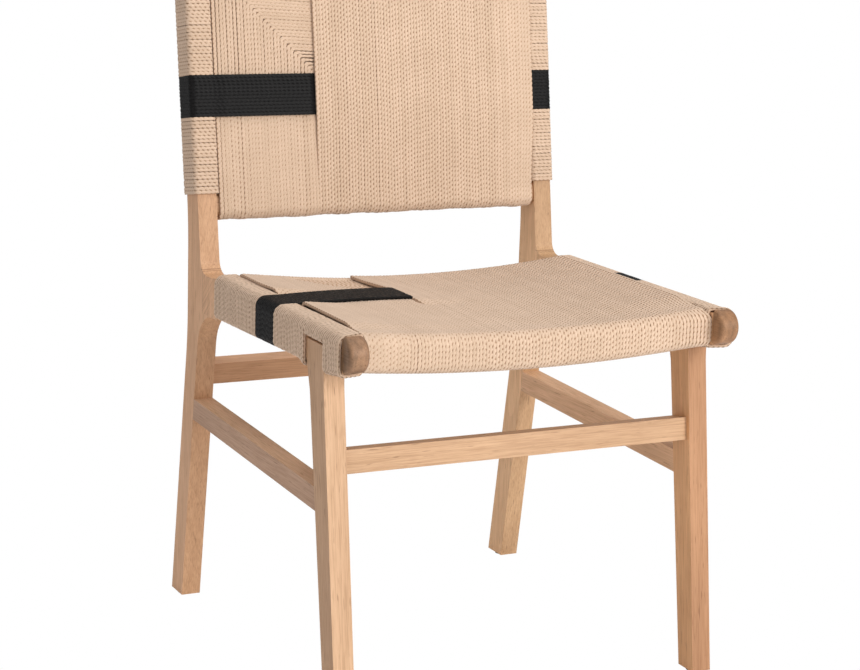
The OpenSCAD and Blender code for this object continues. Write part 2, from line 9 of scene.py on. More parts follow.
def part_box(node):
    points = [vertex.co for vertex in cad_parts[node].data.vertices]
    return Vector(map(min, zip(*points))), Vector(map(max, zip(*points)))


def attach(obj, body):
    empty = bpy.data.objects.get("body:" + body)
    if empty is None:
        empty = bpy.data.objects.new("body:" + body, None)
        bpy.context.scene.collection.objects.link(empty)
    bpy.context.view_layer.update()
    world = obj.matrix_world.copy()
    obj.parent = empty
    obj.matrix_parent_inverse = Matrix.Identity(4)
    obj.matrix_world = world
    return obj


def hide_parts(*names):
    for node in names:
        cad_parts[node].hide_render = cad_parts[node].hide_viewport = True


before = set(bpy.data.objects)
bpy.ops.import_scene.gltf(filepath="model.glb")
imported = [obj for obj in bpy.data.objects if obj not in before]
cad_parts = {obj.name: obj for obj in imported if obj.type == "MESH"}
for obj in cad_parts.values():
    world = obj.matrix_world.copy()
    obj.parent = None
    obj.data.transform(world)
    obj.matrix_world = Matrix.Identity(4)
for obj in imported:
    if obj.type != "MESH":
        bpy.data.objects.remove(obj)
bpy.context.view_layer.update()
print("frame loaded:", len(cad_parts), "nodes")


def mm(value):
    return value / 1000.0


# cord: three plies laid round each other, in metres. ahead is how far a strand's lay leads its neighbour's
cord = {
    "radius": mm(2.15),
    "layer": mm(4.2),
    "pitch": mm(4.13),
    "lay": mm(18),
    "plies": 3,
    "step": mm(1.8),
    "turn": mm(4.6),
    "wander": mm(0.07),
    "wanderEvery": 18,
    "ahead": (0.55, 0.7),
    "valley": 0.12,
    "blackValley": 0.42,
    "wrapValley": 0.28,
    # painted shade in the lay's valleys, as a share of the full shade colour
    "valleyShade": 0.52,
    "hole": 0.2,
    "holeEdge": 1.2,
    "holeLean": 0.15,
}
# the side-to-side cords are hidden, so they are plain rods
rod = {"radius": mm(2.0), "step": mm(14), "clear": mm(0.3), "clearBack": mm(0.4)}
# a pressed cord's section: flat outside. open says how much of a hole each point takes, dark how much painted
# shade it gets at a hole
section = {
    "side": np.array([1.15, 1.01, 0.36, -0.36, -1.01, -1.15, -0.8, 0.8]),
    "up": np.array([0.1, 0.87, 1.0, 1.0, 0.87, 0.1, -0.9, -0.9]),
    "angle": np.radians([8, 42, 72, 108, 138, 172, 230, 310]),
    "open": np.array([1.0, 0.8, 0.0, 0.0, 0.8, 1.0, 0.0, 0.0]),
    "dark": np.array([0.3, 1.0, 0.0, 0.0, 1.0, 0.3, 0.0, 0.0]),
}
half = cord["layer"] / 2

# places that the cords are wound on, read from the frame
railLow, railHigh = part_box("seat_side_rail_right")
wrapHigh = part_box("seat_wrap_right_rear")[1]
frontLow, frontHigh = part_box("seat_front_rail")
rearLow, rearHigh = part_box("seat_rear_rail")
wideLow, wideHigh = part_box("seat_wide_band")
blackLow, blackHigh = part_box("seat_black_band")
blackRightLow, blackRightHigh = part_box("seat_black_wrap_right")
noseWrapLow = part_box("seat_wrap_right_front")[0]
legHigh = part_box("front_leg_right")[1]

seat = {
    "top": wrapHigh[2] - cord["layer"],
    "inner": railLow[0],
    "outer": railHigh[0],
    "noseY": noseWrapLow[1],
    "knuckleY": wrapHigh[1],
    "frontY": frontLow[1],
    "frontBackY": frontHigh[1],
    "rearFrontY": rearLow[1],
    "rearY": rearHigh[1],
    "dish": mm(11),
    "edgeX": wideLow[0],
    "bandX": wideHigh[0],
    "blackY0": blackLow[1],
    "blackY1": blackHigh[1],
    "blackDrift": mm(4.7),
    "arch": mm(4.4),
    "archFall": mm(1.2),
    "corner": mm(8) + half,
    "frontCorner": mm(13),
    "legY0": legHigh[1] - mm(47.5),
    "legY1": legHigh[1],
    "slotTop": legHigh[2] + mm(5),
    "roundTop": mm(10),
}
seat["railH"] = frontHigh[2] - seat["dish"] - frontLow[2]

rng = np.random.default_rng(7)


def smooth(t):
    t = np.clip(t, 0, 1)
    return t * t * (3 - 2 * t)


def blackRise(x):
    """Height of the black cords over the rails' top: an arch over the left band, lower at its right end."""
    t = np.clip((x + seat["inner"]) / (seat["edgeX"] + seat["inner"]), 0, 1.2)
    return seat["arch"] * t * (1 - t) - seat["archFall"] * t * t


def dishAt(x):
    """Depth of the seat under its edge, across the chair."""
    inside = np.clip(1 - (x / seat["inner"]) ** 2, 0, None)
    return -seat["dish"] * inside


def placed(name, data):
    """Puts a new object into the scene."""
    thing = bpy.data.objects.new(name, data)
    bpy.context.scene.collection.objects.link(thing)
    return thing


def unit(vector):
    return vector / np.linalg.norm(vector)


# paths

def filletPath(corners, closed=False, arcStep=mm(1.2), straight=1.55):
    """Points along straight runs joined by arcs. A corner is (x, y, z, radius)."""
    pts = [np.array(c[:3], float) for c in corners]
    radii = [c[3] for c in corners]
    count = len(pts)
    out = []
    for i in range(count):
        b = pts[i]
        if not closed and i in (0, count - 1) or radii[i] <= 0:
            out.append(b[None])
            continue
        toA = unit(pts[i - 1] - b)
        toC = unit(pts[(i + 1) % count] - b)
        halfAngle = math.acos(np.clip(toA @ toC, -1, 1)) / 2
        if halfAngle > straight:
            out.append(b[None])
            continue
        reach = radii[i] / math.tan(halfAngle)
        centre = b + unit(toA + toC) * radii[i] / math.sin(halfAngle)
        start = b + toA * reach - centre
        sweep = math.pi - 2 * halfAngle
        across = b + toC * reach - centre
        side = (across - start * math.cos(sweep)) / math.sin(sweep)
        steps = max(3, int(radii[i] * sweep / arcStep))
        t = np.linspace(0, sweep, steps + 1)[:, None]
        out.append(centre + start * np.cos(t) + side * np.sin(t))
    return np.concatenate(out)


def evenly(points, closed, step):
    """The same path with its points a step apart."""
    if closed:
        points = np.concatenate([points, points[:1]])
    gaps = np.linalg.norm(np.diff(points, axis=0), axis=1)
    along = np.concatenate([[0], np.cumsum(gaps)])
    count = max(4, int(round(along[-1] / step)))
    at = np.linspace(0, along[-1], count + 1)
    if closed:
        at = at[:-1]
    return np.stack([np.interp(at, along, points[:, k]) for k in range(3)], axis=1), along[-1]


def wobble(count, size, wave, closed):
    """Smooth noise along a strand."""
    knots = max(4, int(count / wave))
    values = rng.normal(0, size, knots)
    if closed:
        values = np.append(values, values[0])
    return np.interp(np.linspace(0, 1, count), np.linspace(0, 1, len(values)), values)


def spread(low, high, gaps=None):
    """Centres of strands that fill a space. gaps widens the space after some strands, by number."""
    gaps = gaps or {}
    slack = sum(gaps.values())
    count = max(1, int(round((high - low - slack) / cord["pitch"])))
    pitch = (high - low - slack) / count
    centres = []
    at = low + pitch / 2
    for k in range(count):
        centres.append(at)
        at += pitch + gaps.get(k, 0.0)
    return centres


def slackTurns(low, high, size, every=2):
    """Small gaps, uneven in size, after every second turn of a winding."""
    count = int((high - low) / cord["pitch"])
    return {k: size * rng.uniform(0.5, 1.5) for k in range(every - 1, count - 2, every)}


def carried(lateral, tangent, anchor):
    """Sideways directions along a path, carried both ways from its anchor point."""
    normal = np.zeros_like(tangent)
    for way in (range(anchor, len(tangent)), range(anchor, -1, -1)):
        last = np.array(lateral, float)
        for i in way:
            t = tangent[i]
            last = last - t * (last @ t)
            last = last / math.sqrt(last @ last)
            normal[i] = last
    return normal


class Winding:
    """Collects strands of laid cord and makes one mesh of them. One setting paints shade along the whole join
    between two strands.
    """

    def __init__(self, valley=cord["valley"], seamShade=0.0, laid=True):
        self.valley = valley
        self.seamShade = seamShade
        self.laid = laid
        self.step = cord["step"] if laid else rod["step"]
        self.radius = cord["radius"] if laid else rod["radius"]
        self.sides = len(section["side"])
        self.verts = []
        self.quads = []
        self.caps = []
        self.unshaded = []
        self.shade = []
        self.total = 0
        self.length = 0.0
        self.phase = 0.0
        self.last = None

    def nextPhase(self):
        """The lay of each strand runs a little ahead of its neighbour's."""
        self.phase += rng.normal(*cord["ahead"])
        return self.phase

    def add(self, corners, lateral, closed=False, bend=None, wave=True, widen=None, middle=False):
        """lateral points along the row of strands at the path's start or, with middle, at its middle."""
        points, length = evenly(filletPath(corners, closed), closed, self.step)
        path = points
        if wave:
            sway = wobble(len(points), cord["wander"], cord["wanderEvery"], closed)
            points = points + np.array(lateral) * sway[:, None]
        if bend is not None:
            points = bend(points)
        count = len(points)
        if closed:
            tangent = np.roll(points, -1, 0) - np.roll(points, 1, 0)
        else:
            tangent = np.gradient(points, axis=0)
        tangent /= np.linalg.norm(tangent, axis=1)[:, None]
        anchor = count // 2 if middle else 0
        normal = carried(lateral, tangent, anchor)
        binormal = np.cross(tangent, normal)
        turns = length / cord["lay"]
        if closed:
            turns = round(turns * cord["plies"]) / cord["plies"]
        laps = count if closed else count - 1
        turned = 2 * math.pi * turns * np.arange(count) / laps
        if middle:
            turned = turned - turned[-1]
        before = self.phase
        spin = turned + self.nextPhase()
        order = 1.0
        if self.last is not None and (points[anchor] - self.last) @ np.array(lateral) < 0:
            order = -1.0
        self.last = points[anchor]
        outward = np.sign(((points - points.mean(0)) * binormal).sum())
        side = section["side"] * outward
        up = section["up"] * outward
        # where a strand meets the next there is a hole once for each of the cord's plies, in both strands at
        # the same place
        seams = np.where(side * order > 0, spin[:, None], (turned + before)[:, None])
        lean = np.where(section["side"] > 0, section["angle"], section["angle"] - math.pi)
        hole = (0.5 + 0.5 * np.cos(cord["plies"] * (seams - cord["holeLean"] * lean))) ** cord["holeEdge"]
        valley = (0.5 + 0.5 * np.cos(cord["plies"] * (section["angle"] - spin[:, None]))) ** 2
        if not self.laid:
            hole = hole * 0
            valley = valley * 0
        reach = side * self.radius * (1 - cord["hole"] * section["open"] * hole)
        if widen is not None:
            reach = reach * (1 + widen(path))[:, None]
        height = up * self.radius * (1 - self.valley * valley)
        ring = points[:, None] + normal[:, None] * reach[..., None] + binormal[:, None] * height[..., None]
        # painted shade: darker at each hole where two strands meet, along the whole join by its setting, and
        # in the lay's valleys
        pocketShade = np.maximum(section["dark"] * np.maximum(hole, self.seamShade), valley * cord["valleyShade"])
        base = self.total + np.arange(count * self.sides).reshape(count, self.sides)
        first = base if closed else base[:-1]
        second = np.roll(base, -1, 0) if closed else base[1:]
        quads = np.stack([first, np.roll(first, -1, 1), np.roll(second, -1, 1), second], -1)
        self.verts.append(ring.reshape(-1, 3))
        self.quads.append(quads.reshape(-1, 4))
        self.unshaded.append(1 - pocketShade.ravel())
        self.shade.append(np.full(count * self.sides, rng.uniform()))
        if not closed:
            self.caps.append(base[0][::-1])
            self.caps.append(base[-1])
        self.total += count * self.sides
        self.length += length

    def build(self, name, material, *nodes):
        verts = np.concatenate(self.verts)
        quads = np.concatenate(self.quads)
        loops = np.concatenate([quads.ravel()] + self.caps)
        starts = np.arange(len(quads)) * 4
        totals = np.full(len(quads), 4)
        capCount = len(self.caps)
        if capCount:
            capStarts = len(quads) * 4 + np.arange(capCount) * self.sides
            starts = np.concatenate([starts, capStarts])
            totals = np.concatenate([totals, np.full(capCount, self.sides)])
        mesh = bpy.data.meshes.new(name)
        mesh.vertices.add(len(verts))
        mesh.vertices.foreach_set("co", verts.astype(np.float32).ravel())
        mesh.loops.add(len(loops))
        mesh.loops.foreach_set("vertex_index", loops.astype(np.int32))
        mesh.polygons.add(len(starts))
        mesh.polygons.foreach_set("loop_start", starts.astype(np.int32))
        mesh.polygons.foreach_set("loop_total", totals.astype(np.int32))
        mesh.polygons.foreach_set("use_smooth", np.ones(len(starts), bool))
        for label, values in (("painted_pocket_light", self.unshaded), ("strand", self.shade)):
            layer = mesh.attributes.new(label, "FLOAT", "POINT")
            layer.data.foreach_set("value", np.concatenate(values).astype(np.float32))
        self.unwrap(mesh, len(quads), capCount)
        mesh.update(calc_edges=True)
        self.sharpen(mesh)
        mesh.materials.append(material)
        piece = placed(name, mesh)
        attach(piece, "root")
        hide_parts(*nodes)
        print(name, "faces", len(quads), "cord", round(self.length, 1), "m")

    def sharpen(self, mesh):
        """The cords meet at the edges of their flat outside."""
        ends = np.zeros(len(mesh.edges) * 2, np.int32)
        mesh.edges.foreach_get("vertices", ends)
        rows = ends.reshape(-1, 2) % self.sides
        along = (rows[:, 0] == rows[:, 1]) & ((rows[:, 0] == 1) | (rows[:, 0] == 4))
        layer = mesh.attributes.new("sharp_edge", "BOOLEAN", "EDGE")
        layer.data.foreach_set("value", along)

    def unwrap(self, mesh, quadCount, capCount):
        """Lays the tubes' skins side by side in rows, so that the whole map is used."""
        bands = quadCount // self.sides
        high = 2 * math.pi * self.radius
        perRow = max(1, int(math.sqrt(bands * high / self.step)))
        rows = bands // perRow + 2
        margin = 0.04
        band = np.repeat(np.arange(bands), self.sides)
        j = np.tile(np.arange(self.sides), bands)
        column = band % perRow
        row = band // perRow
        u0 = column / perRow
        u1 = (column + 1) / perRow
        v0 = (row + (margin + (1 - 2 * margin) * j / self.sides)) / rows
        v1 = (row + (margin + (1 - 2 * margin) * (j + 1) / self.sides)) / rows
        uv = np.stack([u0, v0, u0, v1, u1, v1, u1, v0], -1).reshape(-1, 2)
        if capCount:
            spot = np.array([[0.5 / perRow, (rows - 0.5) / rows]])
            around = np.linspace(0, 2 * math.pi, self.sides, endpoint=False)
            ring = np.stack([np.cos(around) / perRow, np.sin(around) / rows], -1) * 0.3
            uv = np.concatenate([uv, np.tile(spot + ring, (capCount, 1))])
        layer = mesh.uv_layers.new(name="OFBake")
        layer.data.foreach_set("uv", uv.astype(np.float32).ravel())


# materials: makers of shader nodes. An input is a number, a colour or another node's socket

def nodeMaterial(name):
    material = bpy.data.materials.new(name)
    material.use_nodes = True
    tree = material.node_tree
    return material, tree, tree.nodes["Principled BSDF"]


def feed(tree, node, inputs):
    """Sets or links the inputs that are named, and gives the node back."""
    for label, value in inputs.items():
        if isinstance(value, bpy.types.NodeSocket):
            tree.links.new(value, node.inputs[label])
        else:
            node.inputs[label].default_value = value
    return node


def newNode(tree, kind, inputs):
    return feed(tree, tree.nodes.new("ShaderNode" + kind), inputs)


def mathNode(tree, operation, *values):
    node = tree.nodes.new("ShaderNodeMath")
    node.operation = operation
    return feed(tree, node, dict(enumerate(values))).outputs[0]


def rangeNode(tree, value, start, end):
    """Maps the range start to the range end."""
    labels = ("From Min", "From Max", "To Min", "To Max")
    inputs = dict(zip(labels, (*start, *end)))
    return newNode(tree, "MapRange", {"Value": value, **inputs}).outputs["Result"]


def rampNode(tree, value, stops):
    ramp = tree.nodes.new("ShaderNodeValToRGB")
    items = ramp.color_ramp.elements
    while len(items) < len(stops):
        items.new(0.5)
    for item, (place, colour) in zip(items, stops):
        item.position = place
        item.color = (*colour, 1)
    return feed(tree, ramp, {"Fac": value}).outputs["Color"]


def mixNode(tree, a, b, factor, blend="MIX"):
    mix = tree.nodes.new("ShaderNodeMix")
    mix.data_type = "RGBA"
    mix.blend_type = blend
    return feed(tree, mix, {"Factor": factor, "A": a, "B": b}).outputs["Result"]


def multiply(tree, a, b, factor=1.0):
    return mixNode(tree, a, b, factor, "MULTIPLY")


def noiseNode(tree, vector, scale, detail=2.0, roughness=0.5):
    inputs = {"Vector": vector, "Scale": scale, "Detail": detail, "Roughness": roughness}
    return newNode(tree, "TexNoise", inputs)


def noise(tree, vector, look):
    """Noise that is stretched along an axis. look has its stretch, scale, detail and roughness."""
    stretch, scale, detail, roughness = look
    mapped = newNode(tree, "Mapping", {"Vector": vector, "Scale": stretch}).outputs["Vector"]
    return noiseNode(tree, mapped, scale, detail, roughness).outputs["Fac"]


def roughen(tree, shader, height, strength, distance):
    inputs = {"Height": height, "Strength": strength, "Distance": distance}
    feed(tree, shader, {"Normal": newNode(tree, "Bump", inputs).outputs["Normal"]})


def mixed(a, b, share):
    return [x + (y - x) * share for x, y in zip(a, b)]


def attribute(tree, name):
    node = tree.nodes.new("ShaderNodeAttribute")
    node.attribute_name = name
    return node.outputs["Fac"]


white = (1, 1, 1)
# light and dark are a strand's tones, then the colour of the painted shade in the hollows between strands and
# in the lay's valleys, fuzz how much the fibre shows
naturalLook = {"sheen": 0.12, "roughness": 0.85, "shine": 0.2}
cordLooks = {
    "naturalCord": {"light": (0.63, 0.466, 0.347), "dark": (0.56, 0.408, 0.295),
        "pocketShadeColour": (0.56, 0.44, 0.34), "fuzz": 0.25, **naturalLook},
    # the rail wraps' cord is the natural cord a little lighter and with deeper painted shade between strands:
    # painted light and shade for the more grazing light on the rails' sides
    "railCordDeepShade": {"light": (0.66, 0.488, 0.363), "dark": (0.58, 0.423, 0.306),
        "pocketShadeColour": (0.26, 0.185, 0.13), "fuzz": 0.3, **naturalLook},
    "blackCord": {"light": (0.0095, 0.009, 0.0095), "dark": (0.006, 0.0057, 0.006),
        "pocketShadeColour": (0.2, 0.2, 0.2), "fuzz": 0.4, "sheen": 0.02, "roughness": 0.45, "shine": 0.09},
}


def cordMaterial(name):
    """Laid cord: even tone, painted shade in the pockets between strands, fine fibre."""
    look = cordLooks[name]
    strandShare = 0.3
    material, tree, shader = nodeMaterial(name)
    coords = tree.nodes.new("ShaderNodeTexCoord").outputs["Object"]
    blotch = noiseNode(tree, coords, 30, 3).outputs["Fac"]
    fibre = noiseNode(tree, coords, 900, 2).outputs["Fac"]
    blotch = mathNode(tree, "MULTIPLY", blotch, 1 - strandShare)
    uneven = mathNode(tree, "MULTIPLY_ADD", attribute(tree, "strand"), strandShare, blotch)
    tone = rampNode(tree, uneven, [(0.25, look["dark"]), (0.75, look["light"])])
    # painted shade: where the mesh's shade attribute is low, the hollows between strands turn to the shade
    # colour
    pocketShade = rampNode(tree, attribute(tree, "painted_pocket_light"), [(0.2, look["pocketShadeColour"]), (0.64, white)])
    fleck = rampNode(tree, fibre, [(0.3, (0.6, 0.56, 0.5)), (0.62, white)])
    feed(tree, shader, {
        "Base Color": multiply(tree, multiply(tree, tone, pocketShade), fleck, look["fuzz"]),
        "Roughness": look["roughness"],
        "Sheen Weight": look["sheen"],
        "Sheen Roughness": 0.5,
        "Specular IOR Level": look["shine"],
    })
    roughen(tree, shader, fibre, 0.4, 0.0004)
    return material


# the oak's layers: noise is stretch, scale, detail and roughness, stops the tones, weight how much it shows
oak = {
    "pale": (0.62, 0.40, 0.245),
    "deep": (0.40, 0.225, 0.12),
    "turn": {"X": (0, -90, 0), "Y": (90, 0, 0), "Z": (0, 0, 0)},
    "rings": 95,
    "ringShare": 0.3,
    "fibre": {
        "noise": ((1, 1, 0.03), 900, 4, 0.6),
        "stops": [(0.34, (0.74, 0.68, 0.61)), (0.55, white)],
        "weight": 0.75,
    },
    "band": {
        "noise": ((1, 1, 0.06), 110, 3, 0.55),
        "stops": [(0.3, (0.86, 0.82, 0.77)), (0.66, (1.04, 1.03, 1.02))],
        "weight": 0.8,
    },
    "pore": {
        "noise": ((1, 1, 0.09), 520, 1, 0.4),
        "stops": [(0.24, (0.42, 0.34, 0.27)), (0.33, white)],
        "weight": 0.55,
    },
    "patch": {
        "noise": ((3, 3, 0.8), 5, 2, 0.5),
        "stops": [(0.3, (0.86, 0.82, 0.79)), (0.68, (1.06, 1.05, 1.04))],
        "weight": 0.9,
    },
    "stain": {
        "noise": ((1, 1, 0.45), 24, 3, 0.6),
        "stops": [(0.64, white), (0.78, (0.66, 0.58, 0.52))],
        "weight": 0.6,
    },
}


def oakRings(tree, along, tone):
    """Growth rings round the board's length, which drift slowly along it."""
    pale = [a * b for a, b in zip(oak["pale"], tone)]
    deep = [a * b for a, b in zip(oak["deep"], tone)]
    mapped = newNode(tree, "Mapping", {"Vector": along, "Scale": (9, 9, 1.4)}).outputs["Vector"]
    drift = noiseNode(tree, mapped, 1.0).outputs["Color"]
    push = tree.nodes.new("ShaderNodeVectorMath")
    push.operation = "MULTIPLY_ADD"
    feed(tree, push, {0: drift, 1: (0.03, 0.03, 0), 2: along})
    rings = tree.nodes.new("ShaderNodeTexWave")
    rings.wave_type = "RINGS"
    rings.rings_direction = "Z"
    rings.wave_profile = "SAW"
    feed(tree, rings, {"Vector": push.outputs["Vector"], "Scale": oak["rings"], "Distortion": 0})
    stops = [(0.0, pale), (0.75, mixed(pale, deep, 0.35)), (1.0, mixed(pale, deep, 0.7))]
    ringTone = rampNode(tree, rings.outputs["Fac"], stops)
    return mixNode(tree, (*mixed(pale, deep, 0.2), 1), ringTone, oak["ringShare"])


def oakMaterial(name, look):
    """Oak board. grain is the axis that the board's length follows, tone its own shade with painted light
    mixed in for how much light reaches it, tilt its lean.
    """
    material, tree, shader = nodeMaterial(name)
    seed = look["seed"]
    coords = tree.nodes.new("ShaderNodeTexCoord").outputs["Object"]
    rotation = [math.radians(a) for a in oak["turn"][look["grain"]]]
    rotation[0] += look.get("tilt", 0.0)
    place = (0.037 + seed, 0.083 - seed * 0.7, seed * 1.3)
    turned = newNode(tree, "Mapping", {"Vector": coords, "Rotation": rotation, "Location": place})
    along = turned.outputs["Vector"]
    colour = oakRings(tree, along, look.get("tone", white))
    fibre = noise(tree, along, oak["fibre"]["noise"])
    for label in ("fibre", "band", "pore", "patch", "stain"):
        layer = oak[label]
        value = fibre if label == "fibre" else noise(tree, along, layer["noise"])
        colour = multiply(tree, colour, rampNode(tree, value, layer["stops"]), layer["weight"])
    if "nose" in look:
        colour = endGrain(tree, coords, colour, look["nose"])
    if "joint" in look:
        colour = jointLine(tree, coords, colour)
    # painted light: each face lightened or darkened by the way it looks
    if "faces" in look:
        colour = paintedFaceLight(tree, colour, look["faces"])
    feed(tree, shader, {
        "Base Color": colour,
        "Roughness": rangeNode(tree, fibre, (0, 1), (0.62, 0.46)),
        "Specular IOR Level": 0.35,
    })
    roughen(tree, shader, fibre, 0.3, 0.0003)
    return material


def paintedFaceLight(tree, colour, faces):
    """Painted light: faces that look sideways, and perhaps up, are lightened or darkened for the light that
    falls on them. faces has the front's, the side's and perhaps the top's.
    """
    normal = tree.nodes.new("ShaderNodeNewGeometry").outputs["Normal"]
    apart = newNode(tree, "SeparateXYZ", {"Vector": normal}).outputs
    sideways = mathNode(tree, "ABSOLUTE", apart["X"])
    colour = multiply(tree, colour, rampNode(tree, sideways, [(0.3, faces[0]), (0.8, faces[1])]))
    if len(faces) > 2:
        colour = multiply(tree, colour, rampNode(tree, apart["Z"], [(0.6, white), (0.9, faces[2])]))
    return colour


def between(tree, value, low, high, soft):
    """1 where the value is between low and high, with soft ends."""
    above = rangeNode(tree, value, (low - soft, low + soft), (0.0, 1.0))
    below = rangeNode(tree, value, (high - soft, high + soft), (1.0, 0.0))
    return mathNode(tree, "MULTIPLY", above, below)


# the glued joint, measured back from the knuckle's front face and from the seat's top
joint = {
    "line": mm(49.2),
    "lineWidth": mm(0.7),
    "below": mm(52),
    "above": mm(2),
    "streaks": ((1, 0.05, 1), 420, 3, 0.6),
    "streakTones": [(0.32, (0.78, 0.75, 0.72)), (0.6, (1.05, 1.05, 1.05))],
    "dark": (0.6, 0.55, 0.5, 1),
    "crease": mm(1.2),
    "creaseWidth": mm(1),
    "creaseFront": mm(8),
    "creaseRear": mm(6.5),
}


def jointLine(tree, coords, colour):
    """The knuckle is glued to the post: an upright line, a slanting grain in front of it, and a crease."""
    apart = newNode(tree, "SeparateXYZ", {"Vector": coords}).outputs
    y, z = apart["Y"], apart["Z"]
    lineY = seat["knuckleY"] + joint["line"]
    inBlock = between(tree, z, seat["top"] - joint["below"], seat["top"] + joint["above"], mm(0.3))
    slant = newNode(tree, "Mapping", {"Vector": coords, "Rotation": (math.radians(45), 0, 0)})
    streaks = rampNode(tree, noise(tree, slant.outputs["Vector"], joint["streaks"]), joint["streakTones"])
    ahead = mathNode(tree, "MULTIPLY", between(tree, y, -1, lineY, mm(0.2)), inBlock)
    colour = multiply(tree, colour, streaks, ahead)
    aside = joint["lineWidth"] / 2
    line = mathNode(tree, "MULTIPLY", between(tree, y, lineY - aside, lineY + aside, mm(0.25)), inBlock)
    colour = multiply(tree, colour, joint["dark"], line)
    creaseZ = seat["top"] + joint["crease"]
    aside = joint["creaseWidth"] / 2
    high = between(tree, z, creaseZ - aside, creaseZ + aside, mm(0.5))
    deep = between(tree, y, lineY - joint["creaseFront"], lineY + joint["creaseRear"], mm(0.5))
    return multiply(tree, colour, joint["dark"], mathNode(tree, "MULTIPLY", high, deep))


def endGrain(tree, coords, colour, dark):
    """The sawn nose of a side rail drinks more finish, so it is darker and blotchy in front of the cord."""
    y = newNode(tree, "SeparateXYZ", {"Vector": coords}).outputs["Y"]
    soft = mm(1)
    ahead = rangeNode(tree, y, (seat["noseY"] - soft, seat["noseY"] + soft), (1.0, 0.0))
    blotch = noise(tree, coords, ((1, 0.5, 0.35), 130, 4, 0.6))
    shade = rampNode(tree, blotch, [(0.3, [a * 0.62 for a in dark]), (0.72, [a * 1.3 for a in dark])])
    return multiply(tree, colour, shade, ahead)


def glideMaterial():
    material, tree, shader = nodeMaterial("glidePlastic")
    grit = newNode(tree, "TexNoise", {"Scale": 600}).outputs["Fac"]
    shade = rampNode(tree, grit, [(0.35, (0.03, 0.03, 0.03)), (0.65, (0.055, 0.052, 0.05))])
    feed(tree, shader, {"Base Color": shade, "Roughness": 0.6})
    roughen(tree, shader, grit, 0.3, 0.0002)
    return material


naturalCord = cordMaterial("naturalCord")
railCordDeepShade = cordMaterial("railCordDeepShade")
blackCord = cordMaterial("blackCord")
print("cord materials ready")


# seat cords

# how far the upper cords lie over a straight line from rail to rail, and how they give way to each other
lift = {
    "middle": mm(1.0),
    "side": mm(3.2),
    "bulge": mm(2.8),
    "climb": mm(45),
    "leftClimb": mm(28),
    "descent": mm(14),
    "edge": mm(3.8),
    "edgeFade": mm(30),
    "edgeStart": (mm(26), mm(24)),
    "behindStart": (mm(10), mm(110)),
    "behindLess": 0.35,
    "aside": mm(4),
    "asideBehind": mm(11),
    "leftAside": (mm(5), mm(60)),
    "leftBehind": (mm(4.2), mm(5.2)),
    "dipIn": mm(12),
    "dipOut": (mm(24), mm(22)),
    "push": mm(3.4),
    "pushed": 12,
    "forward": mm(5.0),
}
# strands press flatter or stay fuller than the section, as a share of its width
flatter = {
    "push": (0.24, 0.33),
    "corner": 0.35,
    "cornerReach": mm(4),
    "afterTurn": mm(3),
    "cornerPush": 0.1,
    "below": 0.14,
    "belowFrom": mm(9),
    "loose": 0.3,
    "looseTurns": (mm(32), mm(12)),
}


def endWeight(k):
    """How far the last strands of a band are pushed over the winding beside them."""
    return max(0.0, 1 - k / lift["pushed"]) ** 1.5


def wider(push):
    """Strands that are pushed apart press flatter, so no gap opens between them."""
    most, power = flatter["push"]

    def widen(points):
        return np.full(len(points), most * push ** power)

    return widen


def fullCorner(corner, loose=0.0, push=0.0):
    """Where a strand turns in the plane of the weave it isn't pressed. A loose one is thinner after it."""
    def widen(points):
        away = np.linalg.norm(points - np.array(corner), axis=1)
        after = smooth((points[:, 0] - corner[0] - flatter["afterTurn"]) / flatter["afterTurn"])
        full = flatter["corner"] * np.exp(-(away / flatter["cornerReach"]) ** 2)
        return full * (1 - after) - loose * after + flatter["cornerPush"] * push

    return widen


def seatRise(y, climb):
    """The upper run climbs from the front rail on to the cross cords, and comes down at the rear rail."""
    rise = smooth((y - seat["frontBackY"]) / climb)
    return rise * smooth((seat["rearY"] + mm(2) - y) / lift["descent"])


def seatLift(x, y):
    depth = np.clip((y - seat["frontBackY"]) / (seat["rearFrontY"] - seat["frontBackY"]), 0, 1)
    bulge = lift["bulge"] * np.clip(1 - (x / seat["inner"]) ** 2, 0, None) * np.sin(math.pi * depth) ** 2
    return lift["middle"] + lift["side"] * np.abs(x / seat["bandX"]) ** 3 + bulge


def upperRun(z):
    return smooth((z - seat["top"] + mm(14)) / mm(10))


def frontFace(y):
    return smooth((seat["frontY"] + mm(7) - y) / mm(9))


def wideSeatBend(push):
    """The wide band's edge lies on the left band from the black cords on, and leans over it."""
    edgeFrom, edgeOver = lift["edgeStart"]
    behindFrom, behindOver = lift["behindStart"]

    def bend(points):
        out = points.copy()
        x, y, z = points.T
        over = upperRun(z) * seatRise(y, lift["climb"])
        near = np.exp(-np.clip(x - seat["edgeX"], 0, None) / lift["edgeFade"])
        near = near * smooth((y - seat["blackY0"] + edgeFrom) / edgeOver)
        behind = smooth((y - seat["blackY1"] - behindFrom) / behindOver)
        near = near * (1 - lift["behindLess"] * behind)
        out[:, 2] += dishAt(x) + over * (seatLift(x, y) + lift["edge"] * near)
        aside = np.maximum(over, frontFace(y))
        out[:, 0] += push * lift["push"] * aside
        out[:, 0] -= (lift["aside"] + lift["asideBehind"] * behind) * near * over
        out[:, 1] -= push * lift["forward"] * frontFace(y)
        return out

    return bend


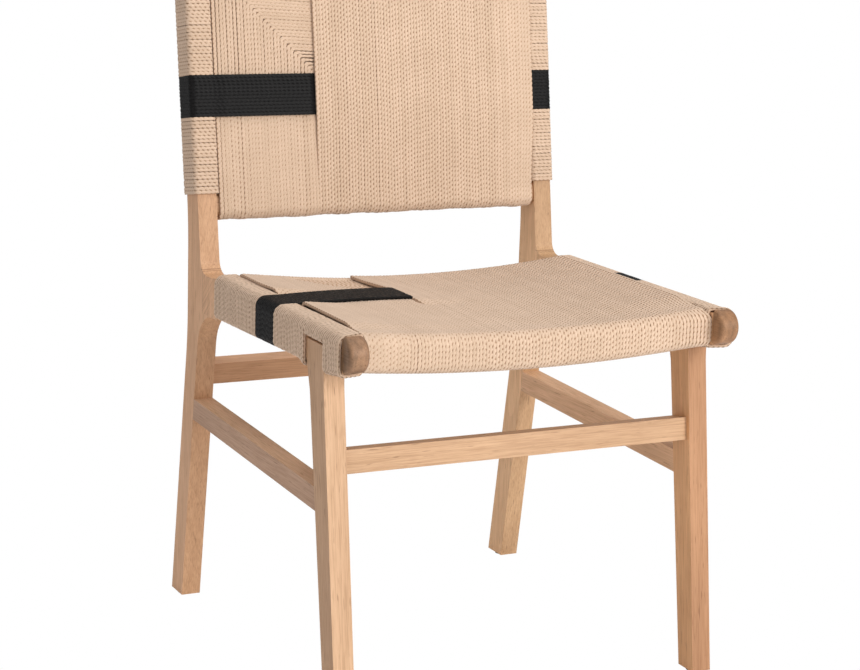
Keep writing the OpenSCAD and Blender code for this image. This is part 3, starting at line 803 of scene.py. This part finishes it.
def leftSeatBend(push):
    """The left band also dips under the black cords."""
    behindHigh, behindFall = lift["leftBehind"]
    outFrom, outOver = lift["dipOut"]
    asideMost, asideOver = lift["leftAside"]

    def bend(points):
        out = points.copy()
        x, y, z = points.T
        dish = dishAt(x)
        t = np.clip((x + seat["bandX"]) / (seat["edgeX"] + seat["bandX"]), 0, 1)
        behind = behindHigh - behindFall * t
        raised = np.where(y < seat["blackY0"], seatLift(x, y), behind)
        under = blackRise(x) - dish - cord["layer"]
        dip = smooth((y - seat["blackY0"] + lift["dipIn"]) / lift["dipIn"])
        dip = dip * smooth((seat["blackY1"] + outFrom - y) / outOver)
        over = upperRun(z)
        out[:, 2] += dish + over * ((1 - dip) * seatRise(y, lift["leftClimb"]) * raised + dip * under)
        aside = over * (1 - dip) * smooth((y - seat["blackY1"]) / asideOver)
        out[:, 0] -= push * asideMost * aside
        out[:, 1] -= push * lift["forward"] * frontFace(y)
        return out

    return bend


seatRun = {
    "y": (seat["frontY"] - half, seat["rearY"] + half),
    "z": (seat["top"] - seat["railH"] - half, seat["top"] + half),
}


def seatLoop(x):
    """A closed strand round the front and rear rails."""
    y0, y1 = seatRun["y"]
    z0, z1 = seatRun["z"]
    r = seat["corner"]
    return [(x, y0, z0, r), (x, y0, z1, seat["frontCorner"]), (x, y1, z1, r), (x, y1, z0, r)]


def makeSeatWideBand():
    band = Winding()
    centres = spread(seat["edgeX"], seat["bandX"])
    for k, x in enumerate(centres):
        push = endWeight(len(centres) - 1 - k)
        band.add(seatLoop(x), (1, 0, 0), closed=True, bend=wideSeatBend(push), widen=wider(push))
    band.build("seat_wide_cords", naturalCord, "seat_wide_band")


def makeSeatLeftBand():
    """Strands behind the black band turn right at 45 degrees and go under the wide band."""
    band = Winding()
    y0, y1 = seatRun["y"]
    z0, z1 = seatRun["z"]
    r = seat["corner"]
    gaps = {1: mm(0.5), 6: mm(0.4), 14: mm(0.5)}
    for k, x in enumerate(spread(-seat["bandX"], seat["edgeX"], gaps)):
        mitreY = seat["blackY1"] + mm(1.5) + (seat["edgeX"] - x)
        push = endWeight(k)
        bend = leftSeatBend(push)
        if mitreY > seat["rearFrontY"] - mm(2):
            band.add(seatLoop(x), (-1, 0, 0), closed=True, bend=bend, widen=wider(push))
            continue
        path = [
            (seat["edgeX"] + mm(9), mitreY, z1 - mm(1), 0),
            (x, mitreY, z1, mm(3)),
            (x, y0, z1, seat["frontCorner"]),
            (x, y0, z0, r),
            (x, y1, z0, r),
            (x, y1, z1, r),
            (x, seat["rearFrontY"] + mm(8), z1, mm(6)),
            (x, seat["rearFrontY"] - mm(4), z1 - mm(5), 0),
        ]
        widen = fullCorner((x, mitreY, z1), push=push)
        band.add(path, (-1, 0, 0), bend=bend, wave=False, middle=True, widen=widen)
    band.build("seat_left_cords", naturalCord, "seat_left_band", "seat_corner_band")


railWrap = {
    "depth": mm(36.5),
    "deepens": mm(9),
    "hang": mm(5.5),
    "hangFade": mm(13),
    "legClear": mm(1),
    "slotClear": mm(1.2),
    "noseCorner": mm(8),
    "crowdFrom": seat["frontY"] + mm(1.5),
    "crowd": 0.25,
    "innerRise": mm(1.0),
    "innerFade": mm(90),
    # painted shade along the whole join between the rail wraps' turns
    "seamShade": 0.62,
    "slack": mm(0.3),
    "noseGap": mm(0.7),
    "noseProud": mm(0.9),
}


def railBottom(y):
    """Bottom edge of a side rail, which deepens to the rear. The turns beside the leg hang a little lower."""
    t = (y - seat["noseY"]) / (seat["knuckleY"] - seat["noseY"])
    hang = railWrap["hang"] * math.exp(-(max(y - seat["legY1"], 0) / railWrap["hangFade"]) ** 2)
    if y < seat["legY0"]:
        hang = railWrap["hang"] * (y - seat["noseY"]) / (seat["legY0"] - seat["noseY"])
    return seat["top"] - railWrap["depth"] - railWrap["deepens"] * t - hang


def railTurn(side, y, proud=0.0):
    """One turn of cord round a side rail, or round its bridge where the leg comes in."""
    atLeg = seat["legY0"] - railWrap["legClear"] < y < seat["legY1"] + railWrap["legClear"]
    low = (seat["slotTop"] + railWrap["slotClear"] if atLeg else railBottom(y)) - half - proud
    x0 = side * (seat["inner"] - half)
    x1 = side * (seat["outer"] + half + proud)
    top = seat["top"] + half + proud
    r = cord["turn"]
    outerR = railWrap["noseCorner"] if y < seat["legY0"] else r
    # at the nose the inner runs crowd together by the front rail's face
    behind = railWrap["crowdFrom"]
    inY = y if y > behind else behind + (y - behind) * railWrap["crowd"]
    inTop = top + railWrap["innerRise"] * float(smooth((seat["blackY0"] - y) / railWrap["innerFade"]))
    return [(x0, inY, low, r), (x1, y, low, outerR), (x1, y, top, seat["roundTop"]), (x0, inY, inTop, r)]


def wrapWinding(material, seamShade=0.0):
    return Winding(cord["blackValley"] if material == blackCord else cord["wrapValley"], seamShade)


def makeRailWrap(name, side, y0, y1, material, node):
    wrap = wrapWinding(material, railWrap["seamShade"])
    atNose = y0 == seat["noseY"]
    gaps = {} if material == blackCord else slackTurns(y0, y1, railWrap["slack"])
    if atNose:
        gaps[0] = railWrap["noseGap"]
    for k, y in enumerate(spread(y0, y1, gaps)):
        proud = railWrap["noseProud"] if atNose and k == 0 else 0.0
        wrap.add(railTurn(side, y, proud), (0, 1, 0), closed=True)
    wrap.build(name, material, node)


def raisedBy(height):
    def bend(points):
        out = points.copy()
        out[:, 2] += height(points[:, 0])
        return out

    return bend


def makeSeatBlackBand():
    """Each black strand rises round the left rail, crosses the left band and dives under the wide band."""
    band = wrapWinding(blackCord)
    drift = seat["blackDrift"]
    edge = seat["edgeX"]
    top = seat["top"] + half
    r = cord["turn"]
    for y in spread(seat["blackY0"], seat["blackY1"]):
        low = railBottom(y) - half
        path = [
            (-seat["inner"] + half, y, low + mm(16), 0),
            (-seat["inner"] + half, y, low, r),
            (-seat["outer"] - half, y, low, r),
            (-seat["outer"] - half, y, top, seat["roundTop"]),
            (-seat["inner"], y, top, mm(60)),
            (edge - mm(5), y + drift, top, mm(6)),
            (edge + mm(2), y + drift, top - mm(4), mm(6)),
            (edge + mm(9), y + drift, top - mm(8), 0),
        ]
        band.add(path, (0, 1, 0), bend=raisedBy(blackRise), wave=False)
    band.build("seat_black_cords", blackCord, "seat_black_band")


def makeSeatCrossCords():
    """The side-to-side cords between the upper and lower layers, seen only through gaps."""
    layers = {
        "upper": seat["top"] - half - rod["clear"],
        "lower": seat["top"] - seat["railH"] + half + rod["clear"],
    }
    for name, z in layers.items():
        layer = Winding(laid=False)
        for y in spread(seat["frontBackY"] + mm(0.5), seat["rearFrontY"] - mm(0.5)):
            x0 = -seat["bandX"]
            if name == "upper" and seat["blackY0"] - mm(24) < y:
                x0 = seat["edgeX"] + mm(13)
            layer.add([(x0, y, z, 0), (seat["bandX"], y, z, 0)], (0, 1, 0), bend=raisedBy(dishAt))
        layer.build("seat_" + name + "_cross_strands", naturalCord, "seat_cross_cords_" + name)


makeSeatWideBand()
makeSeatLeftBand()
makeSeatBlackBand()
makeSeatCrossCords()
nose = seat["noseY"]
knuckle = seat["knuckleY"]
black0, black1 = blackRightLow[1], blackRightHigh[1]
makeRailWrap("seat_left_front_turns", -1, nose, seat["blackY0"], railCordDeepShade, "seat_wrap_left_front")
makeRailWrap("seat_left_rear_turns", -1, seat["blackY1"], knuckle, railCordDeepShade, "seat_wrap_left_rear")
makeRailWrap("seat_right_front_turns", 1, nose, black0, railCordDeepShade, "seat_wrap_right_front")
makeRailWrap("seat_right_black_turns", 1, black0, black1, blackCord, "seat_black_wrap_right")
makeRailWrap("seat_right_rear_turns", 1, black1, knuckle, railCordDeepShade, "seat_wrap_right_rear")
print("seat cords made")


# back cords, made in the back's own frame: x across, y depth from the posts' front faces, z up the posts

lean = math.radians(9.1)
backWideLow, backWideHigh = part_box("back_wide_band")
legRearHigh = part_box("rear_leg_right")[1]

back = {
    "inset": mm(2.5),
    "railT": mm(22),
    "railH": mm(28),
    "postD": mm(36) * math.cos(lean),
    "rise": mm(68),
    "edgeX": backWideLow[0],
    "bandX": backWideHigh[0],
    "inner": seat["inner"],
    "outer": seat["outer"],
    "black0": mm(188),
    "black1": mm(238.4),
    "blackY": -mm(3.5),
    "corner": mm(8) + half,
    "climb": mm(105),
    "descent": mm(14),
    "dip": mm(0.5),
    "dipFrom": mm(14),
    "dipOver": mm(12),
    "sag": (0.8, mm(0.35), mm(1)),
    "turnDrop": 0.07,
    "slack": mm(0.35),
    "foot": (mm(54), mm(4)),
}
postFoot = Vector((0, seat["knuckleY"] + back["foot"][0], seat["top"] - back["foot"][1]))
back["length"] = (legRearHigh[2] - postFoot.z) / math.cos(lean)
back["railTop"] = back["length"] - mm(8)
back["topRail"] = back["railTop"] - back["railH"]
backMatrix = Matrix.Translation(postFoot) @ Matrix.Rotation(-lean, 4, "X")
backTurn = np.array(backMatrix.to_3x3())
backShift = np.array(backMatrix.translation)
backUp = tuple(backTurn[:, 2])


def inBack(points):
    return points @ backTurn.T + backShift


def frontRun(y):
    return smooth((back["inset"] + mm(10) - y) / mm(7))


def bottomTurn(z):
    """1 on the turn under the bottom rail, where strands sag."""
    return smooth((back["rise"] + mm(10) - z) / mm(10))


def wideBackBend(push, sag):
    """The wide band leaves the bottom rail and climbs on to the cross cords on its way up."""
    wrapFrom = back["rise"] + back["railH"]

    def bend(points):
        out = points.copy()
        x, y, z = points.T
        rise = smooth((z - wrapFrom + mm(10)) / back["climb"])
        rise = rise * smooth((back["topRail"] + mm(4) - z) / back["descent"])
        over = frontRun(y) * rise
        out[:, 1] -= over * cord["layer"]
        out[:, 0] += push * lift["push"] * over
        out[:, 2] -= sag * bottomTurn(z)
        return inBack(out)

    return bend


def leftBackBend(sag):
    """The left band runs a little deeper under the black cords."""
    def bend(points):
        out = points.copy()
        x, y, z = points.T
        dip = smooth((z - back["black0"] + back["dipFrom"]) / back["dipOver"])
        dip = dip * smooth((back["black1"] + back["dipFrom"] - z) / back["dipOver"])
        out[:, 1] += frontRun(y) * dip * back["dip"]
        out[:, 2] -= sag * bottomTurn(z)
        return inBack(out)

    return bend


backRun = {
    "y": (back["inset"] - half, back["inset"] + back["railT"] + half),
    "z": (back["rise"] - half, back["railTop"] + half),
}


def backLoop(x):
    y0, y1 = backRun["y"]
    z0, z1 = backRun["z"]
    r = back["corner"]
    return [(x, y0, z0, r), (x, y0, z1, r), (x, y1, z1, r), (x, y1, z0, r)]


def nextSag(sag):
    """The band's lower edge waves a little from strand to strand."""
    keep, change, most = back["sag"]
    return float(np.clip(keep * sag + rng.normal(0, change), -most, most))


def makeBackWideBand():
    band = Winding()
    sag = 0.0
    gaps = {6: mm(0.25), 9: mm(0.3), 14: mm(0.25), 19: mm(0.35)}
    centres = spread(back["edgeX"], back["bandX"], gaps)
    for k, x in enumerate(centres):
        sag = nextSag(sag)
        push = endWeight(len(centres) - 1 - k)
        band.add(backLoop(x), (1, 0, 0), closed=True, bend=wideBackBend(push, sag), widen=wider(push))
    band.build("back_wide_cords", naturalCord, "back_wide_band")


def closeBelow(turn):
    """The left band is loose above the black band, and its strands lie close below it and behind."""
    def widen(points):
        front = points[:, 1] < back["inset"] + back["railT"] / 2
        above = points[:, 2] > back["black0"] + flatter["belowFrom"]
        return turn(points) + np.where(front & above, 0.0, flatter["below"])

    return widen


def makeBackLeftBand():
    """Strands rise from under the black band, turn right at the mitre and go under the wide band."""
    band = Winding()
    sag = 0.0
    y0, y1 = backRun["y"]
    z0, z1 = backRun["z"]
    r = back["corner"]
    gaps = {0: 0.9, 1: 0.4, 3: 0.6, 5: 0.6, 6: 0.9, 8: 0.5, 11: 0.3, 14: 0.4, 17: 0.4, 19: 0.4}
    gaps.update({21: 0.5, 23: 0.5, 25: 0.7, 26: 0.5})
    gaps = {k: mm(gap) for k, gap in gaps.items()}
    looseFrom, looseOver = flatter["looseTurns"]
    for x in spread(-back["bandX"], back["edgeX"], gaps):
        sag = nextSag(sag)
        over = back["edgeX"] - x
        mitreZ = back["black1"] + mm(2) + over
        dropZ = mitreZ - over * back["turnDrop"]
        path = [
            (back["edgeX"] + mm(9), y0, dropZ, 0),
            (x, y0, mitreZ, mm(3)),
            (x, y0, z0, r),
            (x, y1, z0, r),
            (x, y1, z1, r),
            (x, y0, z1, r),
            (x, y0, back["topRail"] + mm(6), mm(6)),
            (x, y0 + mm(5), back["topRail"] - mm(6), 0),
        ]
        loose = flatter["loose"] * float(smooth((looseFrom - over) / looseOver))
        widen = closeBelow(fullCorner((x, y0, mitreZ), loose))
        band.add(path, (-1, 0, 0), bend=leftBackBend(sag), wave=False, middle=True, widen=widen)
    band.build("back_left_cords", naturalCord, "back_left_band", "back_corner_band")


def makePostWrap(name, side, z0, z1, material, node):
    wrap = wrapWinding(material)
    x0 = side * (back["inner"] - half)
    x1 = side * (back["outer"] + half)
    y0 = -half
    y1 = back["postD"] + half
    r = cord["turn"]
    gaps = {} if material == blackCord else slackTurns(z0, z1, back["slack"])
    for z in spread(z0, z1, gaps):
        path = [(x0, y0, z, r), (x1, y0, z, r), (x1, y1, z, r), (x0, y1, z, r)]
        wrap.add(path, backUp, closed=True, bend=inBack)
    wrap.build(name, material, node)


def makeBackBlackBand():
    """Each strand goes round the left post, over the left band and under the wide band."""
    band = wrapWinding(blackCord)
    edge = back["edgeX"]
    y0 = -half
    y1 = back["postD"] + half
    front = back["blackY"]
    under = back["inset"] - half
    r = cord["turn"]
    for z in spread(back["black0"], back["black1"]):
        path = [
            (-back["inner"] + half, mm(14), z, 0),
            (-back["inner"] + half, y1, z, r),
            (-back["outer"] - half, y1, z, r),
            (-back["outer"] - half, y0, z, r),
            (-back["inner"] + mm(2), y0, z, mm(20)),
            (-back["inner"] + mm(16), front, z, mm(20)),
            (edge - mm(7), front, z, mm(5)),
            (edge + mm(1), under, z, mm(5)),
            (edge + mm(10), under, z, 0),
        ]
        band.add(path, backUp, bend=inBack, wave=False)
    band.build("back_black_cords", blackCord, "back_black_band")


def makeBackCrossCords():
    layers = {
        "front": back["inset"] + half + rod["clearBack"],
        "rear": back["inset"] + back["railT"] - half - rod["clearBack"],
    }
    for name, y in layers.items():
        layer = Winding(laid=False)
        for z in spread(back["rise"] + back["railH"] + mm(1), back["topRail"] - mm(1)):
            layer.add([(-back["bandX"], y, z, 0), (back["bandX"], y, z, 0)], backUp, bend=inBack)
        layer.build("back_" + name + "_cross_strands", naturalCord, "back_cross_cords_" + name)


makeBackWideBand()
makeBackLeftBand()
makeBackBlackBand()
makeBackCrossCords()
lower = (back["rise"] + back["railH"], back["black0"])
upper = (back["black1"], back["topRail"])
for side, label in ((-1, "left"), (1, "right")):
    makePostWrap("back_" + label + "_lower_turns", side, *lower, naturalCord, "back_wrap_" + label + "_lower")
    makePostWrap("back_" + label + "_upper_turns", side, *upper, naturalCord, "back_wrap_" + label + "_upper")
makePostWrap("back_right_black_turns", 1, back["black0"], back["black1"], blackCord, "back_black_wrap_right")
print("back cords made")


# frame: the CAD boards keep their shape, get eased edges and oak

# tone is each board's own shade with painted light mixed in; faces is painted light by the way each face
# looks: front, side and top
boards = {
    "rear_leg_left": {"grain": "Z", "seed": 0.11, "tone": (1.07, 1.04, 1.04),
        "faces": ((0.95, 0.94, 0.92), (1.07, 1.07, 1.08)), "joint": True},
    "rear_leg_right": {"grain": "Z", "seed": 0.47, "tone": (1.1, 1.1, 1.06),
        "faces": ((0.84, 0.85, 0.84), (1.26, 1.3, 1.32)), "joint": True},
    "front_leg_left": {"grain": "Z", "tilt": 0.136, "seed": 0.83, "tone": (1.02, 1.03, 1.06),
        "faces": ((1.12, 1.16, 1.18), (0.87, 0.875, 0.88))},
    "front_leg_right": {"grain": "Z", "tilt": 0.136, "seed": 0.29, "tone": (0.97, 0.86, 0.77),
        "faces": ((0.82, 0.79, 0.78), (1.22, 1.26, 1.2))},
    "seat_side_rail_left": {"grain": "Y", "seed": 0.61, "nose": (0.5, 0.47, 0.45), "tone": (1.0, 0.97, 0.96),
        "faces": ((1.02, 1.02, 1.02), (0.74, 0.74, 0.74))},
    "seat_side_rail_right": {"grain": "Y", "seed": 0.17, "nose": (0.52, 0.48, 0.44),
        "tone": (1.08, 1.0, 0.93)},
    "seat_front_rail": {"grain": "X", "seed": 0.05},
    "seat_rear_rail": {"grain": "X", "seed": 0.35},
    "back_top_rail": {"grain": "X", "seed": 0.71},
    "back_bottom_rail": {"grain": "X", "seed": 0.53},
    "front_stretcher": {"grain": "X", "seed": 0.93, "tone": (1.04, 1.07, 1.09)},
    "rear_stretcher": {"grain": "X", "seed": 0.41, "tone": (1.12, 1.05, 0.98),
        "faces": ((0.86, 0.84, 0.84), (1, 1, 1), (1.5, 1.62, 1.8))},
    "side_stretcher_left": {"grain": "Y", "seed": 0.77, "tone": (1.05, 1.08, 1.15),
        "faces": ((1, 1, 1), (0.73, 0.71, 0.75))},
    "side_stretcher_right": {"grain": "Y", "seed": 0.23, "tone": (1.25, 1.28, 1.33)},
}


def easeEdges(piece, width=mm(1.6)):
    bevel = piece.modifiers.new("easedEdges", "BEVEL")
    bevel.width = width
    bevel.segments = 3
    bevel.limit_method = "ANGLE"
    bevel.angle_limit = math.radians(32)
    bevel.harden_normals = True


def dress(name, material):
    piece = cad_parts[name]
    piece.data.materials.clear()
    piece.data.materials.append(material)
    return piece


for name, look in boards.items():
    easeEdges(dress(name, oakMaterial("oak_" + name, look)))
glide = glideMaterial()
for place in ("rear_left", "rear_right", "front_left", "front_right"):
    dress("glide_" + place, glide)
print("boards dressed")


# floor, light and camera

def makeFloor():
    """A pale floor that the camera sees as plain white."""
    size = 14.0
    corners = [(-size, -size, 0), (size, -size, 0), (size, size, 0), (-size, size, 0)]
    mesh = bpy.data.meshes.new("floor")
    mesh.from_pydata(corners, [], [(0, 1, 2, 3)])
    floor = placed("floor", mesh)
    material, tree, shader = nodeMaterial("paleFloor")
    feed(tree, shader, {"Base Color": (0.93, 0.93, 0.93, 1), "Roughness": 0.9})
    glow = newNode(tree, "Emission", {"Color": (*white, 1), "Strength": 1.0})
    seen = tree.nodes.new("ShaderNodeLightPath").outputs["Is Camera Ray"]
    inputs = {"Fac": seen, 1: shader.outputs["BSDF"], 2: glow.outputs["Emission"]}
    blend = newNode(tree, "MixShader", inputs)
    feed(tree, tree.nodes["Material Output"], {"Surface": blend.outputs["Shader"]})
    mesh.materials.append(material)


def makeWorld():
    """White to the camera, half as bright as a light."""
    world = bpy.data.worlds.new("studio")
    bpy.context.scene.world = world
    world.use_nodes = True
    tree = world.node_tree
    seen = tree.nodes.new("ShaderNodeLightPath").outputs["Is Camera Ray"]
    strength = rangeNode(tree, seen, (0, 1), (0.5, 1.0))
    feed(tree, tree.nodes["Background"], {"Color": (*white, 1), "Strength": strength})


def areaLight(name, place, target, size, watts, colour=white):
    data = bpy.data.lights.new(name, "AREA")
    data.shape = "RECTANGLE"
    data.size = size[0]
    data.size_y = size[1]
    data.energy = watts
    data.color = colour
    lamp = placed(name, data)
    lamp.location = place
    aim = Vector(target) - Vector(place)
    lamp.rotation_euler = aim.to_track_quat("-Z", "Y").to_euler()


def makeCamera():
    """The photograph's camera, found from the chair's straight edges."""
    view = {
        "place": (-1.1965, -2.3211, 0.9406),
        "yaw": math.radians(-26.95),
        "pitch": math.radians(-14.03),
        "roll": math.radians(1.94),
        "lens": 92.88,
        "shift": (0.0032, 0.0809),
    }
    yaw, pitch, roll = view["yaw"], view["pitch"], view["roll"]
    level = math.cos(pitch)
    forward = Vector((-math.sin(yaw) * level, math.cos(yaw) * level, math.sin(pitch)))
    right = forward.cross(Vector((0, 0, 1))).normalized()
    up = right.cross(forward)
    tiltedRight = right * math.cos(roll) + up * math.sin(roll)
    tiltedUp = up * math.cos(roll) - right * math.sin(roll)
    turn = Matrix((tiltedRight, tiltedUp, -forward)).transposed().to_4x4()
    data = bpy.data.cameras.new("photoCamera")
    data.sensor_width = 36
    data.lens = view["lens"]
    data.shift_x, data.shift_y = view["shift"]
    camera = placed("photoCamera", data)
    camera.matrix_world = Matrix.Translation(view["place"]) @ turn
    bpy.context.scene.camera = camera


makeFloor()
makeWorld()
areaLight("keyRight", (1.2, -3.0, 1.6), (0, 0, 0.45), (1.8, 1.8), 88, (1.0, 0.985, 0.96))
areaLight("topSoft", (0.2, -0.3, 3.2), (0, 0, 0.4), (2.4, 2.4), 37)
areaLight("fillLeft", (-2.8, -1.4, 1.4), (0, 0, 0.5), (1.6, 1.6), 10, (1.0, 0.9, 0.86))
makeCamera()
bpy.context.scene.view_settings.view_transform = "Standard"
print("stage set")
